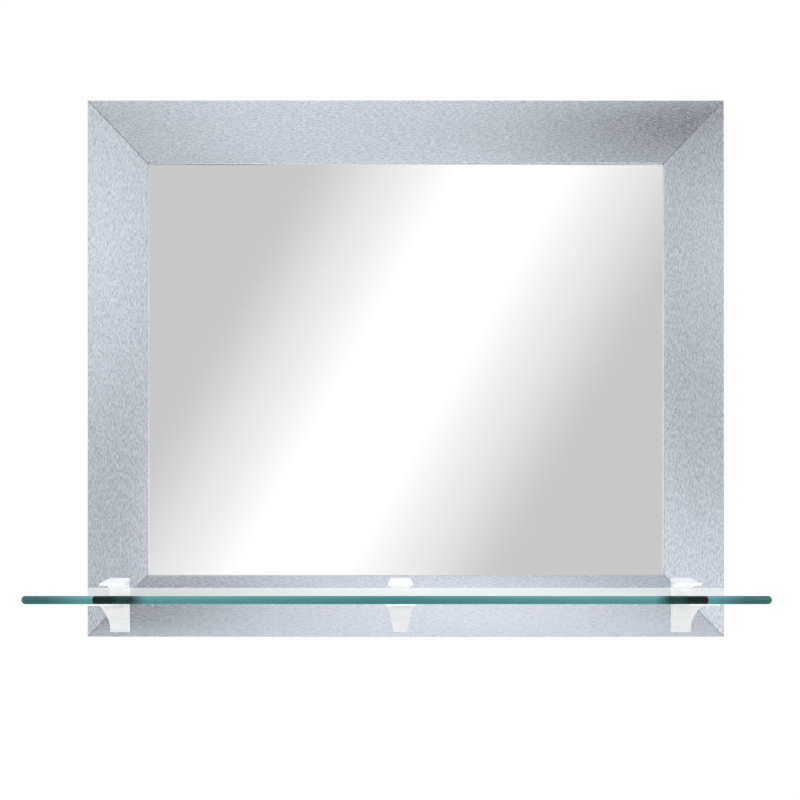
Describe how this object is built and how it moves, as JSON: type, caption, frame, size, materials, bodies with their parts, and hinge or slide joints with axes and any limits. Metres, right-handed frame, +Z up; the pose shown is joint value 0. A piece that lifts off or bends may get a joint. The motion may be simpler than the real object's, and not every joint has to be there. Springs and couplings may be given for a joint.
{
  "type": "mirror with shelf",
  "caption": "Rectangular wall mirror in a wide flat mitred silver frame, with a clear glass shelf that slides into white brackets on the bottom rail.",
  "frame": {"origin": "on the wall, in the plane of the bumpers' backs, behind the centre of the frame", "axes": "+X to the right as seen from the front, +Y back into the wall, +Z up"},
  "size_m": [0.702, 0.151, 0.5462],
  "materials": {
    "silver_foil": "brushed silver foil wrapped on fibreboard, raw fibreboard at the back",
    "nail_steel": "plain, slightly darkened steel",
    "mirror_glass": "silvered plain glass",
    "hardboard": "brown hardboard, screened back",
    "point_steel": "flat bright steel",
    "bumper": "translucent polyurethane",
    "nickel_plate": "nickel-plated strip, worn satin",
    "nickel_wire": "nickel-plated round wire",
    "zinc_screw": "bright zinc-plated steel",
    "shelf_glass": "clear toughened glass, polished edge that looks teal",
    "white_enamel": "satin white powder coat on zinc casting",
    "dark_pad": "soft dark rubber",
    "clear_pad": "soft clear vinyl"
  },
  "bodies": {
    "frame": {"top_rail": "silver_foil", "bottom_rail": "silver_foil", "left_rail": "silver_foil", "right_rail": "silver_foil", "corner_v_nails": "nail_steel", "mirror_pane": "mirror_glass", "backing_board": "hardboard", "framing_points": "point_steel", "wall_bumpers": "bumper", "left_hanger_strap": "nickel_plate", "right_hanger_strap": "nickel_plate", "hanger_screws": "zinc_screw", "left_bracket": "white_enamel", "centre_bracket": "white_enamel", "right_bracket": "white_enamel", "left_arm_pad": "dark_pad", "centre_arm_pad": "clear_pad", "right_arm_pad": "dark_pad", "beak_pads": "clear_pad", "bracket_screws": "zinc_screw"},
    "shelf": {"glass_shelf": "shelf_glass"},
    "left_ring": {"left_hanger_ring": "nickel_wire"},
    "right_ring": {"right_hanger_ring": "nickel_wire"}
  },
  "joints": [
    {"name": "shelf_slide", "type": "slide", "parent": "frame", "child": "shelf", "axis": [0, -1, 0], "range_m": [0, 0.13]},
    {"name": "left_ring_swing", "type": "hinge", "parent": "frame", "child": "left_ring", "pos_m": [-0.29635, -0.00275, 0.15305], "axis": [1, 0, 0], "range_deg": [0, 180]},
    {"name": "right_ring_swing", "type": "hinge", "parent": "frame", "child": "right_ring", "pos_m": [0.29635, -0.00275, 0.15305], "axis": [1, 0, 0], "range_deg": [0, 180]}
  ]
}
